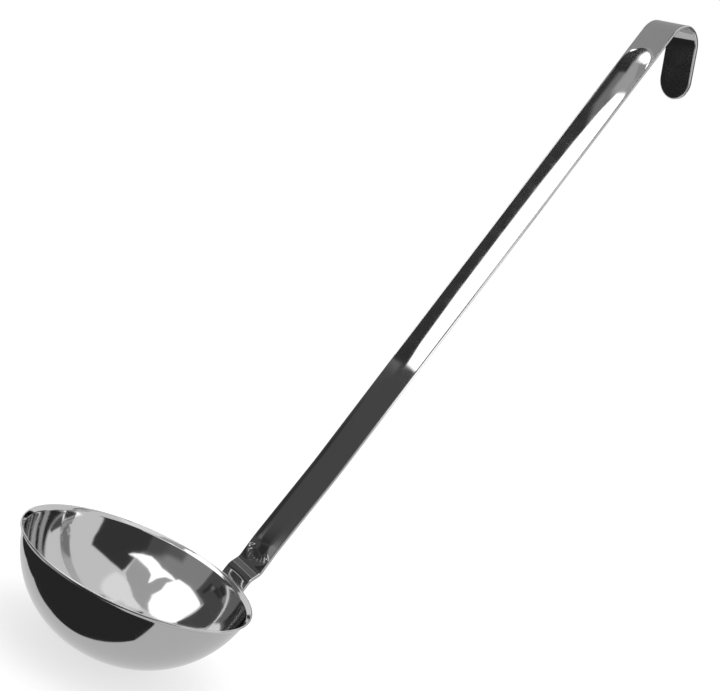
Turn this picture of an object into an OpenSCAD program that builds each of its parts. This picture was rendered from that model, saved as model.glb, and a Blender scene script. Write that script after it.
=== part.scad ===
// Soup ladle: a pressed round bowl with a flared lip, spot welded to a bent strip handle with a hook.
// Origin: centre of the hook's inner bend, where the ladle hangs. +Z is up with the rim level, and the
// handle rises from the bowl's +X side. The ladle is symmetric about the XZ plane.

/* [Bowl] */
// Outside diameter across the rim
rim_d = 120; // [116:1:130]
// Depth from the rim to the outside of the bottom
bowl_depth = 46.4; // [42:0.2:50]
// Outside radius of the dished bottom
base_r = 67.5; // [65:0.5:78]
// Outside radius of the rounded side
side_r = 55.5; // [50:0.5:57]
// Thickness of the bowl's sheet
sheet = 1; // [0.8:0.1:1.4]
// Width of the flared lip, from its knuckle to the middle of its rounded edge
lip_w = 2.2; // [1.6:0.1:3]
// Slope of the lip above level
lip_slope = 45; // [30:5:60]

/* [Handle strip] */
// Thickness of the strip
strip_t = 2; // [1.5:0.1:2.6]
// Width of the strip at the bowl
foot_w = 20.2; // [17:0.2:22]
// Width of the strip at the hook
head_w = 21.6; // [19:0.2:22]
// Length of the tab that lies on the bowl
tab_len = 24; // [22:1:32]
// How far below the rim the strip leaves the bowl's wall
tab_drop = 6.5; // [5.5:0.5:9]
// Clearance between the strip and the edge of the lip
lip_gap = 0.5; // [0.1:0.1:0.8]
// Inside radius of the two small bends that carry the strip past the lip
step_r = 4; // [2:0.5:6]
// Lean of the strip as it steps out past the lip
step_lean = 28; // [25:1:36]
// Lean of the short riser above the lip
riser_lean = 12; // [6:1:18]
// Length of the riser, from the lip's edge up to the jog
riser_len = 3.9; // [3:0.1:8]
// Lean of the jog that sets the handle back from the rim
jog_lean = 44; // [34:1:56]
// Length of the jog's straight
jog_len = 3; // [1:0.2:8]
// Inside radius of the jog's two bends
jog_r = 5; // [3:0.5:8]
// Lean of the neck above the jog
neck_lean = 14; // [12:1:17]
// Length of the neck
neck_len = 9; // [8:0.5:16]
// Lean of the lower handle
lower_lean = 18; // [16:0.5:22]
// Length of the lower handle
lower_len = 43; // [35:1:60]
// Lean of the long upper handle
upper_lean = 15.9; // [12:0.1:20]
// Length of the long upper handle, up to the hook
upper_len = 300.8; // [200:0.2:340]
// Radius of the slow bend between neck and lower handle
neck_bend_r = 80; // [50:5:120]
// Radius of the slow bend between lower and upper handle
slow_bend_r = 250; // [150:10:400]

/* [Hook] */
// Inside radius of the hook, which a rail of up to this radius fits
hook_r = 12; // [8:0.5:16]
// How far the hook turns over, in degrees
hook_turn = 136.5; // [120:0.5:150]
// Length of the hook's free leg, with its round end
leg_len = 29.5; // [24:0.5:45]
// Radius of the leg's round end, at least half the strip's width
leg_end_r = 11.2; // [11:0.1:20]

/* [Pressed channel] */
// Width of the channel pressed along the handle's front
channel_w = 19.4; // [15:0.2:19.6]
// Depth of the channel
channel_t = 0.8; // [0.4:0.1:1.2]
// Plain length left between the channel's upper end and the hook
channel_stop = 13; // [10:1:30]
// How far the fan's centre lies above the top of the neck
fan_up = 2.5; // [0:0.5:4]
// Number of flutes in the fan at the channel's lower end
flute_count = 8; // [4:1:8]
// Angle between neighbouring flutes
flute_step = 17; // [14:1:18]
// Distance from the fan's centre to where the flutes start
flute_in = 7; // [6:0.5:7.5]
// Length of a flute
flute_len = 2.8; // [2:0.2:3.4]
// Radius of a flute's round bottom
flute_r = 1.2; // [0.8:0.1:1.6]
// Depth of a flute
flute_t = 0.6; // [0.5:0.05:0.7]

/* [Spot welds] */
// Diameter of a weld nugget
weld_d = 4.5; // [3:0.5:5.5]
// How far a nugget reaches into the bowl's sheet
weld_in = 0.5; // [0.3:0.1:0.7]
// How far a nugget reaches into the strip
weld_out = 0.8; // [0.4:0.1:1.2]
// Distance between the two weld rows, along the wall
weld_row = 10; // [7:0.5:12]
// Distance between the two welds of a row
weld_span = 9; // [7:0.5:11]

/* [Hidden] */
$fa = 2;
$fs = 0.4;
// Largest turn in degrees between neighbouring points of a bend, and of the lip's small rounds
bend_step = 3;
round_step = 15;
// Spare room of the channel's cutter beyond its outline, and spare length of the tab beyond its round end
spare = 0.3;
// How far the channel's straight stretches run into the slow bends
overrun = 1;
// Length beyond the hook's bend over which its round inside still shapes the strip
bore_bite = 1;
// Facets of the channel's long shallow cutter where it is drawn as a mesh
channel_facets = 720;

// A direction with a given lean from upright, and the direction square to it on its right
function ahead(lean) = [sin(lean), cos(lean)];
function right(lean) = [cos(lean), -sin(lean)];
// Place and lean after the first n steps of a bent sheet: a step is [length, 0] or [radius, turn to the right]
function walk(steps, n, start) =
  n == 0 ? start :
  let (w = walk(steps, n - 1, start), r = steps[n - 1][0], turn = steps[n - 1][1])
  turn == 0 ? [w[0] + r * ahead(w[1]), w[1]]
            : [w[0] + sign(turn) * r * (right(w[1]) - right(w[1] + turn)), w[1] + turn];

// Points along a bent sheet from its start, at a given distance to the left of the path
function side_line(steps, start, offset) = concat(
  [start[0] - offset * right(start[1])],
  [for (i = [0:len(steps) - 1])
    let (w = walk(steps, i, start), r = steps[i][0], turn = steps[i][1], n = max(1, ceil(abs(turn) / bend_step)))
    for (k = [1:n])
      turn == 0 ? w[0] + r * ahead(w[1]) - offset * right(w[1])
                : w[0] + sign(turn) * r * right(w[1]) - (sign(turn) * r + offset) * right(w[1] + turn * k / n)]);
function backwards(list) = [for (i = [len(list) - 1:-1:0]) list[i]];
// Closed outline of a bent sheet of thickness t, which lies on the left of its path
function outline(steps, start, t) = concat(side_line(steps, start, 0), backwards(side_line(steps, start, t)));

// Bowl section: the middle of the sheet runs through the knuckle where the lip starts
rim_r = rim_d / 2;
knuckle = [rim_r - sheet / 2 - lip_w * cos(lip_slope), -sheet / 2 - lip_w * sin(lip_slope)];
base_z = base_r - bowl_depth;
base_to_knuckle = norm([knuckle.x, base_z - knuckle.y]);
base_mid = base_r - sheet / 2;
side_mid = side_r - sheet / 2;
spread = acos((pow(base_to_knuckle, 2) + pow(base_r - side_r, 2) - pow(side_mid, 2))
  / (2 * base_to_knuckle * (base_r - side_r)));
base_turn = atan2(knuckle.x, base_z - knuckle.y) - spread;
side_c = [(base_r - side_r) * sin(base_turn), base_z - (base_r - side_r) * cos(base_turn)];
wall_lean = asin((side_c.y - knuckle.y) / side_mid);

// Lean of the wall where the dished bottom meets the rounded side, and where the strip leaves the wall
meet_lean = 90 - base_turn;
side_leave = asin((side_c.y + tab_drop) / side_r);
leave_lean = side_leave < meet_lean ? side_leave : asin((base_z + tab_drop) / base_r);
// Length of the rounded side below the place where the strip leaves it
side_left = side_r * max(0, meet_lean - leave_lean) * PI / 180;
// Lean of the wall at a given length below that place, and the place of a given lean on the wall's outside
function lean_below(run) =
  run < side_left ? leave_lean + run / side_r * 180 / PI
                  : max(leave_lean, meet_lean) + (run - side_left) / base_r * 180 / PI;
function on_wall(lean) =
  lean < meet_lean ? side_c + side_r * right(lean) : [0, base_z] + base_r * right(lean);

// The bowl's wall is split where the tab lies on it, so that both have the same facets there
tip_lean = lean_below(tab_len);
leave_in = on_wall(leave_lean);
bowl_start = [[0, -bowl_depth], 90];
bowl_leans = [
  bowl_start[1],
  max(tip_lean, meet_lean),
  max(leave_lean, min(tip_lean, meet_lean)),
  min(leave_lean, meet_lean),
  wall_lean
];
bowl_steps = [for (i = [0:len(bowl_leans) - 2])
  [bowl_leans[i] > meet_lean ? base_r : side_r, bowl_leans[i + 1] - bowl_leans[i]]];
tab_steps = [for (i = [0:len(bowl_steps) - 1])
  if (bowl_leans[i] <= tip_lean && bowl_leans[i + 1] >= leave_lean)
    [bowl_steps[i][0] + strip_t, bowl_steps[i][1]]];
lip_lean = 90 - lip_slope;
lip_turn = lip_lean - wall_lean;
lip_end = knuckle + lip_w * ahead(lip_lean);
// Corner of the sheet's two outer faces under the lip
lip_root = knuckle + sheet / 2 / cos(lip_turn / 2) * right(lip_lean - lip_turn / 2);
round_count = round(180 / round_step);
knuckle_count = round(lip_turn / round_step);

// Straight run that brings the strip's front face clear of the lip's edge
past_lip = rim_r + lip_gap - leave_in.x;
bends_out = (step_r + strip_t) * (cos(leave_lean) - cos(step_lean))
  + (step_r + strip_t) * (cos(riser_lean) - cos(step_lean));
step_len = (past_lip - bends_out + strip_t * (cos(riser_lean) - cos(leave_lean))) / sin(step_lean);
// Strip section, along its back face from the tab's tip to the end of the hook
tip = on_wall(tip_lean) + strip_t * right(tip_lean);
foot_steps = concat(tab_steps, [
  [step_r, step_lean - leave_lean],
  [step_len, 0],
  [step_r + strip_t, riser_lean - step_lean],
  [riser_len, 0]
]);
foot_end = walk(foot_steps, len(foot_steps), [tip, tip_lean]);
// The strip is curved with the bowl at its foot and flat above, so the flat part starts at the mean of the curve
sag = foot_end[0].x - sqrt(pow(foot_end[0].x, 2) - pow(foot_w / 2, 2));
// Length over which foot and stem run into each other
foot_lap = riser_len / 2;
stem_start = [foot_end[0] - foot_lap * ahead(riser_lean) - [sag / 2, 0], riser_lean];
stem_steps = [
  [foot_lap, 0],
  [jog_r, jog_lean - riser_lean],
  [jog_len, 0],
  [jog_r + strip_t, neck_lean - jog_lean],
  [neck_len, 0],
  [neck_bend_r, lower_lean - neck_lean],
  [lower_len, 0],
  [slow_bend_r, upper_lean - lower_lean],
  [upper_len, 0],
  [hook_r, hook_turn],
  [leg_len, 0]
];
neck_end = walk(stem_steps, 5, stem_start);
lower_start = walk(stem_steps, 6, stem_start);
upper_start = walk(stem_steps, 8, stem_start);
hook_start = walk(stem_steps, 9, stem_start);
hook_end = walk(stem_steps, 10, stem_start);
hook_c = hook_start[0] + hook_r * right(upper_lean);

// Channel: a large round cutter gives the named width and depth
channel_r = (pow(channel_w / 2, 2) + pow(channel_t, 2)) / (2 * channel_t);

// Local frame on the strip: X runs up it, Z points from its back face to its front face
module along(w) translate([w[0].x, 0, w[0].y]) rotate([0, w[1] - 90, 0]) children();

// Moves a shape drawn about the rim's centre to the hanging point
module in_frame() translate([-hook_c.x, 0, -hook_c.y]) children();

// Upright wall of a given outline in Y and Z, long enough in X to trim the whole strip
module trim_x() rotate([90, 0, 90]) linear_extrude(height = 2 * (hook_end[0].x + leg_len)) children();

// The weld nuggets, two rows of two, across the face between bowl and tab
module nuggets() {
  for (row = [-0.5, 0.5]) {
    lean = lean_below(tab_len / 2 + row * weld_row);
    face = on_wall(lean);
    for (side = [-1, 1])
      rotate([0, 0, side * asin(weld_span / 2 / face.x)])
        translate([face.x, 0, face.y]) rotate([0, lean, 0])
          translate([-weld_in, 0, 0]) rotate([0, 90, 0]) cylinder(d = weld_d, h = weld_in + weld_out);
  }
}

module bowl_section() {
  outside = side_line(bowl_steps, bowl_start, 0);
  polygon(concat(
    [for (i = [0:len(outside) - 2]) outside[i]],
    [lip_root],
    [for (k = [0:round_count]) lip_end + sheet / 2 * right(lip_lean - 180 * k / round_count)],
    [for (k = [0:knuckle_count - 1]) knuckle - sheet / 2 * right(lip_lean - lip_turn * k / knuckle_count)],
    backwards(side_line(bowl_steps, bowl_start, sheet))));
}

module bowl() color("silver") in_frame() difference() {
  rotate_extrude() bowl_section();
  nuggets();
}

// Tab, step over the lip and riser, curved with the bowl
module foot() {
  tip_z = on_wall(tip_lean).y + spare;
  // Twice the turn that the tab takes up about the bowl's axis, so that its outline alone trims it
  half = 2 * asin(foot_w / 2 / tip.x);
  intersection() {
    rotate([0, 0, -half]) rotate_extrude(angle = 2 * half)
      polygon(outline(foot_steps, [tip, tip_lean], strip_t));
    trim_x() {
      translate([-foot_w / 2, tip_z + foot_w / 2]) square([foot_w, foot_end[0].y + strip_t - tip_z]);
      translate([0, tip_z + foot_w / 2]) circle(d = foot_w);
    }
  }
}

// Cuts the corners off the end of the hook's leg
module leg_corners() {
  round_x = leg_len - leg_end_r;
  along(hook_end) translate([round_x, 0, -strip_t]) linear_extrude(height = 3 * strip_t) difference() {
    translate([0, -head_w]) square([leg_len, 2 * head_w]);
    circle(r = leg_end_r);
  }
}

// Outline of the flat strip, with the inside of the hook's bend left solid for the bore to cut
function stem_outline() =
  let (arm = side_line([for (i = [0:8]) stem_steps[i]], stem_start, 0), leg = walk(stem_steps, 11, stem_start))
  concat(
    [for (i = [0:len(arm) - 2]) arm[i]],
    [hook_start[0] - bore_bite * ahead(upper_lean), hook_c, hook_end[0] + bore_bite * ahead(hook_end[1]), leg[0]],
    backwards(side_line(stem_steps, stem_start, strip_t)));

// Flat strip from the riser over the hook to the end of its leg, a little wider at the hook
module stem() {
  low = stem_start[0].y - strip_t;
  high = hook_start[0].y;
  top = hook_c.y + 2 * (hook_r + strip_t);
  intersection() {
    rotate([90, 0, 0]) linear_extrude(height = 2 * head_w, center = true) polygon(stem_outline());
    trim_x() polygon([[-foot_w / 2, low], [foot_w / 2, low], [head_w / 2, high],
      [head_w / 2, top], [-head_w / 2, top], [-head_w / 2, high]]);
  }
}

// The round inside of the hook's bend
module hook_bore() translate([hook_c.x, 0, hook_c.y]) rotate([90, 0, 0])
  cylinder(r = hook_r, h = 2 * head_w, center = true);

// Room for the channel's cutter, clear of the bent parts beyond the channel's ends
module room(low, high) {
  side = channel_w / 2 + spare;
  translate([low - side, -side, 0]) cube([high - low + 2 * side, 2 * side, 2 * strip_t]);
}

// Cutter of the channel from low to high along the strip, dished at both ends
module trough(w, low, high) {
  along(w) intersection() {
    translate([low, 0, strip_t - channel_t + channel_r]) {
      rotate([0, 90, 0]) cylinder(r = channel_r, h = high - low, $fn = channel_facets);
      sphere(r = channel_r);
      translate([high - low, 0, 0]) sphere(r = channel_r);
    }
    room(low, high);
  }
}

module channel() {
  along(neck_end) intersection() {
    translate([0, 0, strip_t - channel_t + channel_r]) sphere(r = channel_r);
    room(0, 0);
  }
  trough(lower_start, -overrun, lower_len + overrun);
  trough(upper_start, -overrun, upper_len - channel_stop - channel_w / 2);
}

// Short flutes that radiate from the dished lower end of the channel
module fan() {
  along(neck_end) translate([fan_up, 0, strip_t - flute_t + flute_r])
    for (i = [0:flute_count - 1])
      rotate([0, 0, 180 + (i - (flute_count - 1) / 2) * flute_step]) translate([flute_in, 0, 0]) {
        rotate([0, 90, 0]) cylinder(r = flute_r, h = flute_len);
        translate([flute_len, 0, 0]) sphere(r = flute_r);
      }
}

module handle() color("gainsboro") in_frame() difference() {
  union() {
    foot();
    stem();
  }
  hook_bore();
  leg_corners();
  channel();
  fan();
  nuggets();
}

module spot_welds() color("dimgray") in_frame() nuggets();

bowl();
handle();
spot_welds();
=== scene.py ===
import math
import bmesh
import bpy
import numpy as np
from mathutils import Matrix, Vector


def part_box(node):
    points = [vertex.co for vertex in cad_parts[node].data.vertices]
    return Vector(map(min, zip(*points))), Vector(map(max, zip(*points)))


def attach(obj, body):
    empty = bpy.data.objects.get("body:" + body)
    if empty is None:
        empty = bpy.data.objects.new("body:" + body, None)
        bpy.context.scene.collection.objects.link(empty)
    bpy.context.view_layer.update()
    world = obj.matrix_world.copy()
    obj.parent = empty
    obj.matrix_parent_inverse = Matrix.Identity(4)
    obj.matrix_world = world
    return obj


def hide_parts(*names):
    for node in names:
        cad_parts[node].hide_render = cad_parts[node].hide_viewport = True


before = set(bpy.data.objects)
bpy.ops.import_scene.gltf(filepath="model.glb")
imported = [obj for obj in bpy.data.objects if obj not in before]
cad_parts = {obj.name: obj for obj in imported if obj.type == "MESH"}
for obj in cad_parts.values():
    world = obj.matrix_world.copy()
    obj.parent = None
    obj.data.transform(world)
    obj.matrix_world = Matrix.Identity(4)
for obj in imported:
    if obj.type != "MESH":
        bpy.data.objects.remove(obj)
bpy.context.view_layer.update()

# Lengths in the dictionaries are millimetres and angles are degrees, as on a workshop drawing.
# They are counted from the centre of the bowl's rim, which the frame gives.
mm = 0.001
bowlLow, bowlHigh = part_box("bowl")
rimCentre = np.array([(bowlLow.x + bowlHigh.x) / 2, 0.0, bowlHigh.z])


def fromRim(points):
    # Millimetres from the rim's centre to metres in the frame
    return np.asarray(points, float) * mm + rimCentre


def ahead(lean):
    return np.array([math.sin(math.radians(lean)), math.cos(math.radians(lean))])


def rightOf(lean):
    return np.array([math.cos(math.radians(lean)), -math.sin(math.radians(lean))])


def meshPiece(name, verts, faces, shares, material, node):
    # shares: (across, along) from 0 to 1 at each corner of each face, for the finish's lines
    mesh = bpy.data.meshes.new(name)
    mesh.from_pydata([tuple(v) for v in verts], [], faces)
    layer = mesh.uv_layers.new(name="finish")
    layer.data.foreach_set("uv", np.asarray(shares, float).ravel())
    mesh.polygons.foreach_set("use_smooth", [True] * len(mesh.polygons))
    piece = bpy.data.objects.new(name, mesh)
    bpy.context.scene.collection.objects.link(piece)
    piece.data.materials.append(material)
    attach(piece, "root")
    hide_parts(node)


def toLinear(hexColour):
    parts = [int(hexColour[i:i + 2], 16) / 255 for i in (1, 3, 5)]
    return tuple([c / 12.92 if c <= 0.04045 else ((c + 0.055) / 1.055) ** 2.4 for c in parts] + [1.0])


def addNode(tree, kind, settings=None, links=None):
    # settings: attribute or input name -> value; links: input name -> (node, output name)
    node = tree.nodes.new(kind)
    for key, value in (settings or {}).items():
        if hasattr(node, key):
            setattr(node, key, value)
        else:
            node.inputs[key].default_value = value
    for key, (source, output) in (links or {}).items():
        tree.links.new(source.outputs[output], node.inputs[key])
    return node


# Stainless steel, polished with a wheel: mirrors the room, with faint lines that follow the polishing
bowlFinish = {
    "colour": "#bcbcbc",
    "roughness": (0.05, 0.1),     # cleanest and dullest patches
    "lineWidth": 1.4,             # real lines are finer than 0.1 mm, drawn coarse enough to show
    "lineDepth": 0.0022,
    "patch": 14,                  # size of the cleaner and duller patches
}
stripFinish = {
    "colour": "#bcbcbc",
    "roughness": (0.04, 0.09),
    "lineWidth": 1.5,             # drawn as coarse as the bowl's
    "lineLength": 160,
    "lineDepth": 0.003,
    "patch": 9,
}


def polishedSteel(name, finish, acrossLength, alongLength, ringed):
    material = bpy.data.materials.new(name)
    material.use_nodes = True
    tree = material.node_tree
    shader = tree.nodes["Principled BSDF"]
    shader.inputs["Base Color"].default_value = toLinear(finish["colour"])
    shader.inputs["Metallic"].default_value = 1.0
    place = addNode(tree, "ShaderNodeTexCoord")
    if ringed:      # lines run round the bowl
        scale = (0, alongLength / finish["lineWidth"], 1)
    else:           # lines run along the strip
        scale = (acrossLength / finish["lineWidth"], alongLength / finish["lineLength"], 1)
    stretch = addNode(tree, "ShaderNodeMapping", {"Scale": scale}, {"Vector": (place, "UV")})
    lines = addNode(tree, "ShaderNodeTexNoise", {"Scale": 1, "Detail": 2}, {"Vector": (stretch, "Vector")})
    patches = addNode(tree, "ShaderNodeTexNoise", {"Scale": 1 / (finish["patch"] * mm), "Detail": 4},
                      {"Vector": (place, "Object")})
    bump = addNode(tree, "ShaderNodeBump", {"Strength": 1, "Distance": finish["lineDepth"] * mm},
                   {"Height": (lines, "Fac")})
    clean, dull = finish["roughness"]
    gloss = addNode(tree, "ShaderNodeMapRange",
                    {"From Min": 0.3, "From Max": 0.7, "To Min": clean, "To Max": dull},
                    {"Value": (patches, "Fac")})
    tree.links.new(gloss.outputs["Result"], shader.inputs["Roughness"])
    tree.links.new(bump.outputs["Normal"], shader.inputs["Normal"])
    return material


bowl = {
    "rim": 120,          # outside diameter
    "depth": 46.4,
    "baseRadius": 67.5,  # outside of the dished bottom
    "sideRadius": 55.5,  # outside of the rounded side
    "sheet": 1.0,
    "lipWidth": 2.2,
    "lipSlope": 45,
    "knuckleBend": 1.2,  # radius of the bend where the lip starts
    "bendSteps": 6,      # mesh steps in that bend
    "edgeTurn": 20,      # mesh step round the lip's edge
    "around": 320,       # mesh steps round the rim
    "stepAlong": 1.1,    # mesh step along the wall
}

halfSheet = bowl["sheet"] / 2
slope = math.radians(bowl["lipSlope"])
knuckle = np.array([bowl["rim"] / 2 - halfSheet - bowl["lipWidth"] * math.cos(slope),
                    -halfSheet - bowl["lipWidth"] * math.sin(slope)])
baseCentre = np.array([0.0, bowl["baseRadius"] - bowl["depth"]])
baseMiddle = bowl["baseRadius"] - halfSheet
sideMiddle = bowl["sideRadius"] - halfSheet
radiusStep = bowl["baseRadius"] - bowl["sideRadius"]
reach = math.hypot(knuckle[0], baseCentre[1] - knuckle[1])
spread = math.acos((reach ** 2 + radiusStep ** 2 - sideMiddle ** 2) / (2 * reach * radiusStep))
baseTurn = math.degrees(math.atan2(knuckle[0], baseCentre[1] - knuckle[1]) - spread)
sideCentre = baseCentre + radiusStep * rightOf(90 - baseTurn)
wallLean = math.degrees(math.asin((sideCentre[1] - knuckle[1]) / sideMiddle))


def arcPoints(centre, radius, leanFrom, leanTo, count):
    # Middle line of an arc and the leans along it; the centre is on the left of the path
    leans = np.linspace(leanFrom, leanTo, count + 1)
    return [(centre + radius * rightOf(lean), lean) for lean in leans]


def bowlMiddleLine():
    lipLean = 90 - bowl["lipSlope"]
    turn = lipLean - wallLean
    tangent = bowl["knuckleBend"] * math.tan(math.radians(turn) / 2)
    wallEnd = wallLean + math.degrees(tangent / sideMiddle)
    baseCount = int(baseMiddle * math.radians(baseTurn) / bowl["stepAlong"])
    sideCount = int(sideMiddle * math.radians(90 - baseTurn - wallEnd) / bowl["stepAlong"])
    line = arcPoints(baseCentre, baseMiddle, 90, 90 - baseTurn, baseCount)
    line += arcPoints(sideCentre, sideMiddle, 90 - baseTurn, wallEnd, sideCount)[1:]
    bendCentre = knuckle - tangent * ahead(wallLean) + bowl["knuckleBend"] * rightOf(wallLean)
    for lean in np.linspace(wallLean, lipLean, bowl["bendSteps"] + 1)[1:]:
        line.append((bendCentre - bowl["knuckleBend"] * rightOf(lean), lean))
    lipEnd = knuckle + bowl["lipWidth"] * ahead(lipLean)
    for part in (0.5, 1.0):
        line.append((line[-1][0] * (1 - part) + lipEnd * part, lipLean))
    return line


def makeBowl():
    line = bowlMiddleLine()
    outside = [p + halfSheet * rightOf(lean) for p, lean in line]
    inside = [p - halfSheet * rightOf(lean) for p, lean in line]
    end, lean = line[-1]
    edge = [end + halfSheet * rightOf(lean - a) for a in range(bowl["edgeTurn"], 180, bowl["edgeTurn"])]
    profile = outside[1:] + edge + inside[:0:-1]
    angles = np.arange(bowl["around"]) * 2 * math.pi / bowl["around"]
    verts = [[0, 0, outside[0][1]], [0, 0, inside[0][1]]]
    for r, z in profile:
        verts += [[r * math.cos(a), r * math.sin(a), z] for a in angles]
    count = bowl["around"]
    rows = len(profile)
    faces, shares = [], []
    for row in range(rows - 1):
        low, high = 2 + row * count, 2 + (row + 1) * count
        for k in range(count):
            faces.append((low + k, low + (k + 1) % count, high + (k + 1) % count, high + k))
            left, right = k / count, (k + 1) / count
            under, over = (row + 1) / (rows + 1), (row + 2) / (rows + 1)
            shares += [(left, under), (right, under), (right, over), (left, over)]
    last = 2 + (rows - 1) * count
    for k in range(count):
        left, right = k / count, (k + 1) / count
        faces.append((0, 2 + (k + 1) % count, 2 + k))
        shares += [((left + right) / 2, 0), (right, 1 / (rows + 1)), (left, 1 / (rows + 1))]
        faces.append((1, last + k, last + (k + 1) % count))
        shares += [((left + right) / 2, 1), (left, rows / (rows + 1)), (right, rows / (rows + 1))]
    profileLength = 2 * sum(np.linalg.norm(b[0] - a[0]) for a, b in zip(line, line[1:]))
    rimLength = math.pi * bowl["rim"]
    steel = polishedSteel("stainlessSteelSpunPolished", bowlFinish, rimLength, profileLength, True)
    meshPiece("soupBowl", fromRim(verts), faces, shares, steel, "bowl")


makeBowl()
print("bowl done")

strip = {
    "thick": 2.0,
    "footWidth": 20.2,
    "headWidth": 21.6,
    "tabLength": 24,
    "tabDrop": 6.5,       # how far below the rim the strip leaves the wall
    "lipGap": 0.5,
    "stepRadius": 4, "stepLean": 28,
    "riserLean": 12, "riserLength": 3.9,
    "jogRadius": 5, "jogLean": 44, "jogLength": 3,
    "neckLean": 14, "neckLength": 9, "neckBendRadius": 80,
    "lowerLean": 18, "lowerLength": 43, "slowBendRadius": 250,
    "upperLean": 15.9, "upperLength": 300.8,
    "hookRadius": 12, "hookTurn": 136.5, "legLength": 29.5, "legEndRadius": 11.2,
    "frontRound": 0.35, "backRound": 0.9,    # softened edges of the stamped strip
    # The mesh: lines by distance from the edge, the first plain one and the count from there to the middle
    "edgeLines": [0, 0.03, 0.1, 0.22, 0.4, 0.65, 0.95, 1.4, 1.9], "firstPlain": 2.3, "plainLines": 23,
    # The mesh: longest steps on the plain arm, at the foot and the channel's end, and in the fan
    "longStep": 4.0, "shortStep": 0.6, "fanStep": 0.3,
    # The mesh: turn of one step round the ends, in slow bends and in those under the sharp radius
    "endTurn": 6, "slowTurn": 1, "sharpTurn": 3, "sharpRadius": 50,
    "patternWidth": 2.1,                     # the finish's pattern holds both faces, in widths of the strip
}
channel = {
    "width": 19.4,
    "depth": 0.8,
    "shoulder": 0.1,      # softness of the channel's shoulders
    "fadeFrom": 1.2, "fadeTo": 3,            # past the channel's edge, until the face is quite plain
    "stop": 13,           # plain length below the hook
    "fanUp": 2.5,         # the fan's centre above the top of the neck
    "fluteCount": 8,
    "fluteStep": 17,      # degrees from flute to flute
    "fluteFrom": 4.5, "fluteTo": 11.5,       # from the fan's centre
    "fluteRise": 2.5, "fluteFall": 3,        # soft ends of a flute
    "fluteDepth": 0.6,
    "fanBelow": 13, "fanAbove": 5,           # reach of the fan's finer mesh along the strip
    "endReach": 12,                          # the same round the channel's upper end
}
welds = {
    "rowDistance": 10, "span": 9,
    "dentRadius": 2.4, "dentSlope": 0.9, "dentDepth": 0.15,
    "colour": "#8e8e8e", "roughness": (0.35, 0.55),
    "grain": 0.4, "grainDepth": 0.02,
}
thick = strip["thick"]


def across(lean):
    return math.cos(math.radians(lean))


leaveLean = math.degrees(math.asin((sideCentre[1] + strip["tabDrop"]) / bowl["sideRadius"]))
tabTurn = math.degrees(strip["tabLength"] / bowl["sideRadius"])
tipLean = leaveLean + tabTurn
leaveIn = sideCentre + bowl["sideRadius"] * rightOf(leaveLean)
bendOut = strip["stepRadius"] + thick
bendsOut = bendOut * (across(leaveLean) + across(strip["riserLean"]) - 2 * across(strip["stepLean"]))
pastLip = bowl["rim"] / 2 + strip["lipGap"] - leaveIn[0]
thickOut = thick * (across(strip["riserLean"]) - across(leaveLean))
stepLength = (pastLip - bendsOut + thickOut) / math.sin(math.radians(strip["stepLean"]))

# The strip's back face from the tab's tip to the leg's end: (name, length or radius, turn to the right)
steps = [
    ("tab", bowl["sideRadius"] + thick, -tabTurn),
    ("stepOut", strip["stepRadius"], strip["stepLean"] - leaveLean),
    ("step", stepLength, 0),
    ("stepUp", bendOut, strip["riserLean"] - strip["stepLean"]),
    ("riser", strip["riserLength"], 0),
    ("jogOut", strip["jogRadius"], strip["jogLean"] - strip["riserLean"]),
    ("jog", strip["jogLength"], 0),
    ("jogUp", strip["jogRadius"] + thick, strip["neckLean"] - strip["jogLean"]),
    ("neck", strip["neckLength"], 0),
    ("neckBend", strip["neckBendRadius"], strip["lowerLean"] - strip["neckLean"]),
    ("lower", strip["lowerLength"], 0),
    ("slowBend", strip["slowBendRadius"], strip["upperLean"] - strip["lowerLean"]),
    ("upper", strip["upperLength"], 0),
    ("hook", strip["hookRadius"], strip["hookTurn"]),
    ("leg", strip["legLength"], 0),
]


def lengthOf(size, turn):
    return size if turn == 0 else size * abs(math.radians(turn))


starts = {}
place, lean, run = sideCentre + (bowl["sideRadius"] + thick) * rightOf(tipLean), tipLean, 0.0
for name, size, turn in steps:
    starts[name] = (run, place, lean, size, turn)
    if turn == 0:
        place = place + size * ahead(lean)
    else:
        place = place + math.copysign(size, turn) * (rightOf(lean) - rightOf(lean + turn))
    run += lengthOf(size, turn)
    lean += turn
stripEnd = run
riserTop = starts["jogOut"][1]
sag = riserTop[0] - math.sqrt(riserTop[0] ** 2 - (strip["footWidth"] / 2) ** 2)


def along(s, offset):
    # Place in the strip's long section at length s, offset forwards of the back face, and the lean there
    for run, place, lean, size, turn in starts.values():
        length = lengthOf(size, turn)
        if s <= run + length + 1e-9:
            break
    d = min(s - run, length)
    if turn == 0:
        return place + d * ahead(lean) - offset * rightOf(lean), lean
    side = math.copysign(1, turn)
    here = lean + turn * d / length
    return place + side * size * rightOf(lean) - (side * size + offset) * rightOf(here), here


def smoothStep(x, low, high):
    t = min(1.0, max(0.0, (x - low) / (high - low)))
    return t * t * (3 - 2 * t)


fanPlace = starts["neckBend"][0]
channelTop = starts["hook"][0] - channel["stop"] - channel["width"] / 2
channelRound = (channel["width"] / 2) ** 2 / (2 * channel["depth"])


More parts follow.
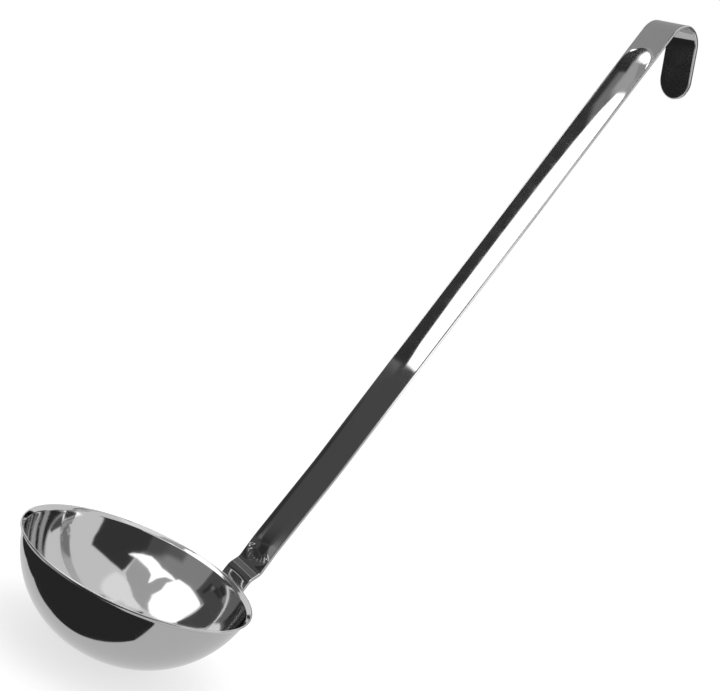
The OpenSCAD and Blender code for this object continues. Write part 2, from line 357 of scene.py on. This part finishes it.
def dish(s, y):
    # Depth of the pressed channel with its round ends, and of the fan's flutes at the lower end
    beyond = max(fanPlace - s, s - channelTop, 0.0)
    radius = math.hypot(beyond, y)
    g = channel["depth"] - radius ** 2 / (2 * channelRound)
    depth = (g + math.sqrt(g * g + channel["shoulder"] ** 2)) / 2
    edge = channel["width"] / 2
    depth *= 1 - smoothStep(radius, edge + channel["fadeFrom"], edge + channel["fadeTo"])
    if s < fanPlace + channel["fanAbove"]:
        down = fanPlace + channel["fanUp"] - s
        ray = math.hypot(down, y)
        angle = math.degrees(math.atan2(y, down))
        widest = channel["fluteCount"] / 2 * channel["fluteStep"]
        wave = 0.5 - 0.5 * math.cos(2 * math.pi * (angle + widest) / channel["fluteStep"])
        window = smoothStep(ray, channel["fluteFrom"], channel["fluteFrom"] + channel["fluteRise"])
        window *= 1 - smoothStep(ray, channel["fluteTo"] - channel["fluteFall"], channel["fluteTo"])
        window *= 1 - smoothStep(abs(angle), widest - 1, widest + 2)
        depth += max(0, channel["fluteDepth"] - depth) * window * wave
    return depth


def weldDent(s, y):
    # The welding electrodes leave a shallow round dent on the tab's outside over each nugget
    tabMiddle = starts["stepOut"][0] / 2
    r = math.hypot(abs(s - tabMiddle) - welds["rowDistance"] / 2, abs(y) - welds["span"] / 2)
    outside = smoothStep(r, welds["dentRadius"] - welds["dentSlope"], welds["dentRadius"])
    return welds["dentDepth"] * (1 - outside)


def edgeRounding(inward, e):
    # How far a face falls away near the strip's edge
    d = min(max(inward, 0.0), e)
    return e - math.sqrt(max(e * e - (e - d) ** 2, 0))


def placeOnStrip(s, y, offset):
    # Curved with the bowl at the foot, flat from the jog on
    (r, z), lean = along(s, offset)
    flat = smoothStep(s, starts["riser"][0], starts["jog"][0])
    curved = r - math.sqrt(r * r - y * y) if flat < 1 else 0.0
    return [r - (1 - flat) * curved - flat * sag / 2, y, z]


def widthAt(s):
    headFrom = starts["hook"][0]
    footFrom = starts["riser"][0]
    part = min(1.0, max(0.0, (s - footFrom) / (headFrom - footFrom)))
    return strip["footWidth"] + (strip["headWidth"] - strip["footWidth"]) * part


def stations():
    # Lengths along the strip between its two round ends, close together where it bends or is pressed
    first, last = strip["footWidth"] / 2, stripEnd - strip["legEndRadius"]
    fanStart = fanPlace - channel["fanBelow"]
    channelEnd = channelTop + channel["width"] / 2
    # A coming bend or the fan starts on a station of its own
    marks = [v[0] for v in starts.values()] + [fanStart, channelTop - channel["width"] / 2, last]
    out = [first]
    while out[-1] < last:
        s = out[-1]
        fine = strip["longStep"]
        for run, place, lean, size, turn in starts.values():
            if turn != 0 and run - strip["fanStep"] <= s < run + lengthOf(size, turn):
                stepTurn = strip["sharpTurn"] if size < strip["sharpRadius"] else strip["slowTurn"]
                fine = min(fine, size * math.radians(stepTurn))
        if fanStart < s < fanPlace + channel["fanAbove"]:
            fine = min(fine, strip["fanStep"])
        if abs(s - channelEnd) < channel["endReach"] or s < starts["neck"][0]:
            fine = min(fine, strip["shortStep"])
        out.append(min([s + fine] + [m for m in marks if s + 1e-6 < m]))
    return out


def roundEnd(centre, outward, radius, half, turns, shares):
    # Mesh rows of a round end: length, place across and distance from the edge, for each share of the width
    rows = []
    for t in (math.sin(math.radians(turn)) for turn in turns):
        row = []
        for v in shares:
            u, w = t * math.sqrt(1 - v * v / 2), v * math.sqrt(1 - t * t / 2)
            row.append((centre + outward * radius * u, half * w, half * (1 - math.hypot(u, w))))
        rows.append(row)
    return rows


def makeStrip():
    half = strip["footWidth"] / 2
    inward = strip["edgeLines"] + list(np.linspace(strip["firstPlain"], half, strip["plainLines"]))
    shares = [-(1 - d / half) for d in inward]
    shares += [-v for v in shares[-2::-1]]            # -1 ... 0 ... 1 across the strip
    turns = list(range(90, 0, -strip["endTurn"]))
    rows = roundEnd(half, -1, half, half, turns, shares)
    for s in stations():
        wide = widthAt(s) / 2
        rows.append([(s, wide * v, wide * (1 - abs(v))) for v in shares])
    legRadius = strip["legEndRadius"]
    rows += roundEnd(stripEnd - legRadius, 1, legRadius, strip["headWidth"] / 2, turns[::-1], shares)
    front, back, frontShares, backShares = [], [], [], []
    for s, y, d in (spot for row in rows for spot in row):
        front.append(placeOnStrip(s, y, thick - edgeRounding(d, strip["frontRound"]) - dish(s, y)))
        back.append(placeOnStrip(s, y, edgeRounding(d, strip["backRound"]) + weldDent(s, y)))
        inPattern = y / strip["headWidth"] / strip["patternWidth"]
        frontShares.append((0.25 + inPattern, s / stripEnd))      # middle of the pattern's first half
        backShares.append((0.75 + inPattern, s / stripEnd))
    n, m, base = len(rows), len(shares), len(front)
    faces, corners = [], []      # a corner is a vertex's place in the finish's pattern
    for i in range(n - 1):
        for j in range(m - 1):
            ring = (i * m + j, i * m + j + 1, (i + 1) * m + j + 1, (i + 1) * m + j)
            faces.append(ring)
            corners += [frontShares[v] for v in ring]
            faces.append(tuple(base + v for v in ring[::-1]))
            corners += [backShares[v] for v in ring[::-1]]
    border = list(range(m)) + [i * m + m - 1 for i in range(1, n)]
    border += [(n - 1) * m + j for j in range(m - 2, -1, -1)] + [i * m for i in range(n - 2, 0, -1)]
    for k, a in enumerate(border):
        b = border[(k + 1) % len(border)]
        faces.append((b, a, base + a, base + b))
        corners += [frontShares[v] for v in (b, a, a, b)]
    patternWidth = strip["patternWidth"] * strip["headWidth"]
    steel = polishedSteel("stainlessSteelStripBrushPolished", stripFinish, patternWidth, stripEnd, False)
    meshPiece("stripHandle", fromRim(front + back), faces, corners, steel, "handle")


makeStrip()
print("strip handle done")


def weldSteel():
    # Resistance weld nuggets: steel cast between the sheets, matt and a little grainy
    material = bpy.data.materials.new("weldNuggetSteelCast")
    material.use_nodes = True
    tree = material.node_tree
    shader = tree.nodes["Principled BSDF"]
    shader.inputs["Base Color"].default_value = toLinear(welds["colour"])
    shader.inputs["Metallic"].default_value = 1.0
    place = addNode(tree, "ShaderNodeTexCoord")
    grain = addNode(tree, "ShaderNodeTexNoise", {"Scale": 1 / (welds["grain"] * mm), "Detail": 3},
                    {"Vector": (place, "Object")})
    bump = addNode(tree, "ShaderNodeBump", {"Strength": 0.5, "Distance": welds["grainDepth"] * mm},
                   {"Height": (grain, "Fac")})
    clean, dull = welds["roughness"]
    rough = addNode(tree, "ShaderNodeMapRange", {"To Min": clean, "To Max": dull}, {"Value": (grain, "Fac")})
    tree.links.new(rough.outputs["Result"], shader.inputs["Roughness"])
    tree.links.new(bump.outputs["Normal"], shader.inputs["Normal"])
    return material


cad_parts["spot_welds"].material_slots[0].material = weldSteel()
print("spot welds done")

camera = {
    "azimuth": -43.825, "elevation": 4.311, "roll": 26.094,
    "target": (67.819, 0, 138.118),     # from the rim's centre
    "distance": 593.05,
    "lens": 57.77, "sensor": 36, "farthest": 100,    # the last in metres
}


def makeCamera():
    az, el, roll = (math.radians(camera[k]) for k in ("azimuth", "elevation", "roll"))
    back = Vector((math.sin(az) * math.cos(el), -math.cos(az) * math.cos(el), math.sin(el)))
    level = Vector((math.cos(az), math.sin(az), 0))
    side = level * math.cos(roll) + back.cross(level) * math.sin(roll)
    up = back.cross(side)
    data = bpy.data.cameras.new("camera")
    data.lens = camera["lens"]
    data.sensor_width = camera["sensor"]
    data.clip_end = camera["farthest"]
    holder = bpy.data.objects.new("camera", data)
    turn = Matrix((side, up, back)).transposed()
    spot = Vector(fromRim(camera["target"])) + back * camera["distance"] * mm
    holder.matrix_world = Matrix.Translation(spot) @ turn.to_4x4()
    bpy.context.scene.collection.objects.link(holder)
    bpy.context.scene.camera = holder


makeCamera()
print("camera done")

# The studio is white: world, floor and a softbox overhead. Glowing cards that only reflections see paint the
# steel its darks and its whites, standing in for the lit and shaded boards used when photographing polished
# metal: painted reflections.
studio = {
    "world": "#ffffff",
    "floorReach": 6, "floorGap": 0.0001,    # metres
    "floorColour": "#aaaaaa",    # takes the ladle's shadow
    "floorGlow": "#cccccc",      # brings the floor up to the world's white
    "softboxHeight": 1.6, "softboxSide": 1.3, "softboxWatts": 8.0,    # metres
    "skyDistance": 2.5, "skyStep": 0.05,    # metres from the bowl to its cards
    "skyMesh": 5,                # degrees, the longest edge in a sky card's mesh
    "cardHeight": 0.4, "cardStep": 0.1,     # millimetres, of the cards that lie on the floor
    "besideHook": -40, "overHook": 60,      # millimetres from the hook's centre to its two cards
}
# Glowing cards round the bowl, seen only in reflections, each a little nearer than the one before; their
# colours and strengths paint the light and shade reflected in the steel. Colour, strength, width of the soft
# edge and corners in degrees of azimuth and elevation, seen from the rim's centre
skyCards = {
    "overheadGlow": ("#ffffff", 1.3, 6, [(246, 60), (262, 57), (285, 64), (318, 72), (330, 88), (140, 88),
                                         (139, 72), (151, 77), (165, 79), (205, 80), (228, 75)]),
    "greyWall": ("#a8a8a8", 1, 3, [(128, -4), (137, 29), (180, 34), (232, 34), (232, -4)]),
    "wallShade": ("#747474", 1, 7, [(192, 9), (192, 17), (206, 19), (222, 22), (222, 8), (205, 7)]),
    "wingShade": ("#626262", 1, 12, [(211, 0), (213, 24), (224, 30), (240, 32), (240, 0)]),
    "darkWing": ("#464646", 1, 3, [(232, 2), (231, 24), (236, 31), (240, 36), (243, 44), (248, 52),
                                   (253, 55), (260, 52), (270, 48), (283, 40), (295, 32), (292, 25),
                                   (288, 19), (285, 10), (285, 2)]),
    "greyCeiling": ("#cdcdcd", 1, 1.5, [(183, 34), (226, 33), (238, 36), (241, 44), (246, 56), (238, 64),
                                        (223, 71), (205, 76), (182, 77), (165, 76), (151, 74), (139, 69),
                                        (152, 68), (167, 67), (183, 61), (183, 51), (187, 43)]),
    "cornerSoftbox": ("#ffffff", 2.2, 1, [(180, 35), (195, 39), (202, 46), (204, 52), (206, 55),
                                          (209, 50), (211, 46), (219, 42), (227, 40), (238, 37),
                                          (249, 36), (242, 33), (234, 31), (223, 29), (214, 31),
                                          (205, 34), (194, 34)]),
    "sideSoftbox": ("#ffffff", 2.2, 1, [(120, 49), (121, 45), (126, 44), (130, 38), (134, 31), (137, 27),
                                        (150, 28), (165, 29), (181, 32), (188, 43), (184, 51), (184, 61),
                                        (167, 68), (152, 69), (139, 68), (131, 66), (124, 60)]),
    "highSide": ("#787878", 1, 2, [(96, 32), (98, 52), (119, 52), (118, 45), (112, 38), (106, 28)]),
    "darkSide": ("#5a5a5a", 1, 2, [(104, 20), (108, 28), (114, 38), (118, 44), (122, 45), (127, 38),
                                   (131, 31), (135, 25), (140, 20), (132, 17), (118, 17), (112, 13),
                                   (107, 13)]),
    "lowWall": ("#5c5c5c", 1, 2, [(106, -5), (106, 17), (120, 20), (137, 24), (150, 26), (156, 26),
                                  (158, 12), (158, -5)]),
    "lowShade": ("#404040", 1, 2, [(128, 9), (130, 11.5), (141, 13.5), (146, 14), (147, 22), (151, 22),
                                   (151, 12), (140, 9)]),
    "lowStreak": ("#3a3a3a", 1, 2, [(127, 3), (128, 8), (139, 8.5), (139, 5)]),
    "lowPale": ("#a0a0a0", 1, 2, [(117, 1), (117, 8), (124, 9.5), (127, 8), (124, 2)]),
    "lowGleam": ("#858585", 1, 2, [(142, 11), (143, 14.5), (147, 14), (147, 11)]),
    "darkCorner": ("#606060", 1, 2, [(330, 3), (330, 11), (346, 11), (350, 6), (345, 2)]),
    "darkBack": ("#0c0c0c", 1, 2, [(-3, -6), (-1, 11), (28, 14), (66, 14), (66, -6)]),
    "fanSoftbox": ("#ffffff", 2.2, 4, [(-15, 56), (106, 56), (112, 84), (-15, 84)]),
    "endSoftbox": ("#ffffff", 2.2, 2, [(306, -7), (306, 4), (316, 6), (322, 11), (332, 11), (332, -7)]),
}
# Glowing cards that lie on the floor, seen only in reflections, the uppermost first: they paint the floor's
# reflected shade and light in the steel. Colour and corners in millimetres from below the rim's centre
floorCards = {
    "darkSheet": ("#333333", [(-14, -150), (-18, -100), (-20, -60), (-38, -22), (-50, 0), (-62, 30),
                              (-60, 60), (-40, 105), (-20, 150), (-300, 200), (-300, -250), (-60, -250)]),
    "darkStrip": ("#141414", [(700, 380), (420, 820), (900, 1900), (1700, 900)]),
    "paleSheet": ("#e2e2e2", [(-900, -900), (900, -900), (900, 900), (-900, 900)]),
}
# Glowing cards in planes beside the handle's face, seen only in reflections: they paint the handle's
# reflected light and shade, its glints included. Colour, strength, width of the soft edge, distance and
# corners in millimetres across the strip and along it from the hook
handleAzimuth = 132.5
handleCards = {
    "darkFlag": ("#404040", 1, 2, 152, [(-62, -218), (-8, -218), (-8, 24), (-24, 46), (-62, 46)]),
    "topShade": ("#909090", 1, 12, 151.5, [(-36, 4), (-18, -10), (-10, 12), (-10, 51), (-36, 51)]),
    "topFlag": ("#cacaca", 1, 12, 151, [(-20, 20), (-4, 12), (2, 16), (19, 20), (19, 54), (-20, 54)]),
    "stripLight": ("#ffffff", 2.4, 3, 150, [(18.5, -217), (18.5, 24), (-3, 19), (-13, 0), (-18, -25),
                                            (-22, -60), (-23, -110), (-22, -160), (-18, -200),
                                            (-12, -217)]),
    "bendFlag": ("#b2b2b2", 1, 2, 150, [(-58, 52), (-2, 52), (8, 95), (30, 150), (70, 200), (130, 260),
                                        (300, 430), (-58, 430)]),
    "bendLight": ("#ffffff", 2, 1, 149, [(1, 53), (11, 95), (33, 148), (73, 196), (95, 196), (60, 140),
                                         (30, 90), (19, 53)]),
    "legFlag": ("#2d2d2d", 1, 1, 45, [(-2, 10), (60, 10), (60, -60), (110, -150), (60, -150),
                                      (-2, -110)]),
    # endShade, endGleam and endFlag stand close to the channel's upper end, fitted to it: a painted glint
    # there, with painted grey and shade around it
    "endShade": ("#3a3a3a", 1, 3, 90, [(-34, 19), (-17, 17), (-15, 7), (-34, 3)]),
    "endGleam": ("#ffffff", 3.4, 0.4, 44.5, [(-13, -5.8), (-11.3, -5.4), (-7.2, -3.1), (-7.4, -2.4),
                                             (-9, -2), (-11.5, -2.8), (-12.6, -4.3)]),
    "endFlag": ("#b2b2b2", 1, 0.6, 44, [(-21, 10.5), (-14, 4.3), (-8.5, -1), (-3, -3.5), (3, -3), (3, 30),
                                        (-21, 30)]),
    "arrisFlag": ("#0a0a0a", 1, 2, 60, [(-60, -215), (-27, -215), (-27, 40), (-60, 40)]),
}


def glowing(name, colour, strength):
    # Glowing card, even all over, with the light or shade of a board painted into its colour and strength:
    # gives the steel its clean painted light and dark shapes
    # It fades out towards the card's edge, where the first coordinate falls from 1 to 0
    material = bpy.data.materials.new(name)
    material.use_nodes = True
    tree = material.node_tree
    tree.nodes.clear()
    place = addNode(tree, "ShaderNodeTexCoord")
    parts = addNode(tree, "ShaderNodeSeparateXYZ", None, {"Vector": (place, "UV")})
    fade = addNode(tree, "ShaderNodeMapRange", {"interpolation_type": "SMOOTHSTEP"}, {"Value": (parts, "X")})
    clear = addNode(tree, "ShaderNodeBsdfTransparent")
    glow = addNode(tree, "ShaderNodeEmission", {"Color": toLinear(colour), "Strength": strength})
    mixed = addNode(tree, "ShaderNodeMixShader", None,
                    {0: (fade, "Result"), 1: (clear, "BSDF"), 2: (glow, "Emission")})
    addNode(tree, "ShaderNodeOutputMaterial", None, {"Surface": (mixed, "Shader")})
    return material


def makeCard(name, corners, soft, place, material, step=math.inf):
    # The corners are flat coordinates, and place turns one into a point in the frame
    flat = np.array(corners, float)
    after = np.roll(flat, -1, 0)
    turning = np.sign(np.sum(flat[:, 0] * after[:, 1] - flat[:, 1] * after[:, 0]))
    ways = [(b - a) / np.linalg.norm(b - a) for a, b in zip(flat, after)]
    outward = []
    for k, way in enumerate(ways):
        mean = np.array([way[1], -way[0]]) + np.array([ways[k - 1][1], -ways[k - 1][0]])
        outward.append(turning * soft * mean / max(mean @ mean, 0.6))
    # Full inside the inner outline and gone at the outer one, soft to both sides of the corners
    card = bmesh.new()
    layer = card.loops.layers.uv.new("fade")
    inner = [card.verts.new((*(p - out), 0)) for p, out in zip(flat, outward)]
    outer = [card.verts.new((*(p + out), 0)) for p, out in zip(flat, outward)]
    card.faces.new(inner)
    for k in range(len(flat)):
        card.faces.new((inner[k - 1], inner[k], outer[k], outer[k - 1]))
    solid = set(inner)
    for face in card.faces:
        for loop in face.loops:
            loop[layer].uv = (1.0 if loop.vert in solid else 0.0, 0.0)
    # Small triangles, so that a card far off follows its sphere and keeps its order
    bmesh.ops.triangulate(card, faces=card.faces)
    while any(edge.calc_length() > step for edge in card.edges):
        tooLong = [edge for edge in card.edges if edge.calc_length() > step]
        bmesh.ops.subdivide_edges(card, edges=tooLong, cuts=1)
        bmesh.ops.triangulate(card, faces=card.faces)
    for vert in card.verts:
        vert.co = Vector(place(vert.co.x, vert.co.y))
    mesh = bpy.data.meshes.new(name)
    card.to_mesh(mesh)
    card.free()
    mesh.materials.append(material)
    holder = bpy.data.objects.new(name, mesh)
    bpy.context.scene.collection.objects.link(holder)
    holder.visible_camera = False
    holder.visible_diffuse = False
    holder.visible_shadow = False


def inSky(distance):
    def place(az, el):
        az, el = math.radians(az), math.radians(el)
        way = np.array([math.cos(el) * math.cos(az), math.cos(el) * math.sin(az), math.sin(el)])
        return rimCentre + distance * way
    return place


def onFloor(height):
    def place(x, y):
        return fromRim([x, y, height - bowl["depth"]])
    return place


def byHandle(distance):
    lean = math.radians(strip["upperLean"])
    az = math.radians(handleAzimuth)
    up = np.array([math.sin(lean), 0, math.cos(lean)])
    out = np.array([math.cos(az), math.sin(az), -math.cos(az) * math.tan(lean)])
    out /= np.linalg.norm(out)
    side = np.cross(out, up)

    def place(across, upward):
        return (out * distance + side * across + up * upward) * mm
    return place


def besideHook(x, z):
    return np.array([x, studio["besideHook"], z]) * mm


def overHook(x, y):
    return np.array([x, y, studio["overHook"]]) * mm


# Glowing cards in planes beside and over the hook, seen only in reflections: they paint the hook's reflected
# grey.
# Colour, plane and corners in millimetres from the hook's centre
hookCards = {
    "legSideFlag": ("#808080", besideHook, [(24, -80), (130, -80), (130, 60), (34, 60)]),
    "capFlag": ("#b2b2b2", overHook, [(-80, -30), (80, -30), (80, 140), (-80, 140)]),
}


def makeFloor():
    z = bowlLow.z - studio["floorGap"]
    r = studio["floorReach"]
    mesh = bpy.data.meshes.new("floor")
    mesh.from_pydata([(-r, -r, z), (r, -r, z), (r, r, z), (-r, r, z)], [], [(0, 1, 2, 3)])
    # Matt white paper: shows the ladle's soft shadow and no gloss
    material = bpy.data.materials.new("whitePaperFloor")
    material.use_nodes = True
    tree = material.node_tree
    shader = tree.nodes["Principled BSDF"]
    shader.inputs["Base Color"].default_value = toLinear(studio["floorColour"])
    shader.inputs["Roughness"].default_value = 1.0
    shader.inputs["Specular IOR Level"].default_value = 0.0
    path = addNode(tree, "ShaderNodeLightPath")
    seen = addNode(tree, "ShaderNodeMath", {"operation": "MAXIMUM"},
                   {0: (path, "Is Camera Ray"), 1: (path, "Is Glossy Ray")})
    seen = addNode(tree, "ShaderNodeMath", {"operation": "MAXIMUM"},
                   {0: (seen, "Value"), 1: (path, "Is Transmission Ray")})
    shader.inputs["Emission Color"].default_value = toLinear(studio["floorGlow"])
    tree.links.new(seen.outputs["Value"], shader.inputs["Emission Strength"])
    floor = bpy.data.objects.new("floor", mesh)
    mesh.materials.append(material)
    bpy.context.scene.collection.objects.link(floor)


def makeStudio():
    world = bpy.data.worlds.new("whiteStudio")
    world.use_nodes = True
    world.node_tree.nodes["Background"].inputs["Color"].default_value = toLinear(studio["world"])
    bpy.context.scene.world = world
    light = bpy.data.lights.new("softbox", "AREA")
    light.size = studio["softboxSide"]
    light.energy = studio["softboxWatts"]
    lamp = bpy.data.objects.new("softbox", light)
    lamp.location = Vector(rimCentre) + Vector((0, 0, studio["softboxHeight"]))
    lamp.visible_glossy = False      # the cards take its place in the steel
    bpy.context.scene.collection.objects.link(lamp)
    for k, (name, (shade, strength, soft, corners)) in enumerate(skyCards.items()):
        place = inSky(studio["skyDistance"] - studio["skyStep"] * k)
        makeCard(name, corners, soft, place, glowing(name, shade, strength), studio["skyMesh"])
    for k, (name, (shade, corners)) in enumerate(floorCards.items()):
        place = onFloor(studio["cardHeight"] - studio["cardStep"] * k)
        makeCard(name, corners, 1, place, glowing(name, shade, 1))
    for name, (shade, place, corners) in hookCards.items():
        makeCard(name, corners, 1, place, glowing(name, shade, 1))
    for name, (shade, strength, soft, distance, corners) in handleCards.items():
        makeCard(name, corners, soft, byHandle(distance), glowing(name, shade, strength))


makeFloor()
makeStudio()
print("studio done")

scene = bpy.context.scene
scene.view_settings.view_transform = "Standard"
